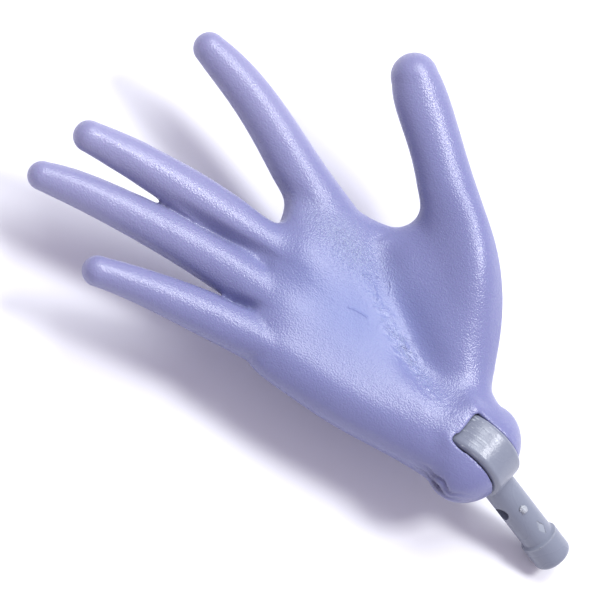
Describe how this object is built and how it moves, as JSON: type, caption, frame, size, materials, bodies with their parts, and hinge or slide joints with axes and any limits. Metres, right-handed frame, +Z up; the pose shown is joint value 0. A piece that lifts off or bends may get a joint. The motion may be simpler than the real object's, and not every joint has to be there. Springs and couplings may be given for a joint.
{
  "type": "doll hand",
  "caption": "Soft moulded right hand with slim fingers, hinged on a hard wrist peg whose snap collar clicks into a forearm socket.",
  "frame": {"origin": "middle of the peg's snap collar, on the peg's axis", "axes": "+X along the palm towards the fingers, +Y towards the little finger, +Z up out of the palm; at rest the wrist is bent back 29 degrees, so the peg slopes down to the origin"},
  "size_m": [0.0371, 0.0225, 0.0103],
  "materials": {
    "hand_vinyl": "soft semi-gloss moulded vinyl, lavender",
    "peg_plastic": "glossy moulded plastic, blue-grey",
    "pin_steel": "drawn wire"
  },
  "bodies": {
    "peg": {"wrist_peg": "peg_plastic"},
    "hand": {"hand": "hand_vinyl", "hinge_pin": "pin_steel"}
  },
  "joints": [
    {"name": "wrist_hinge", "type": "hinge", "parent": "peg", "child": "hand", "pos_m": [0.0066, 0, 0.00366], "axis": [0, -1, 0], "range_deg": [-25, 95]}
  ]
}
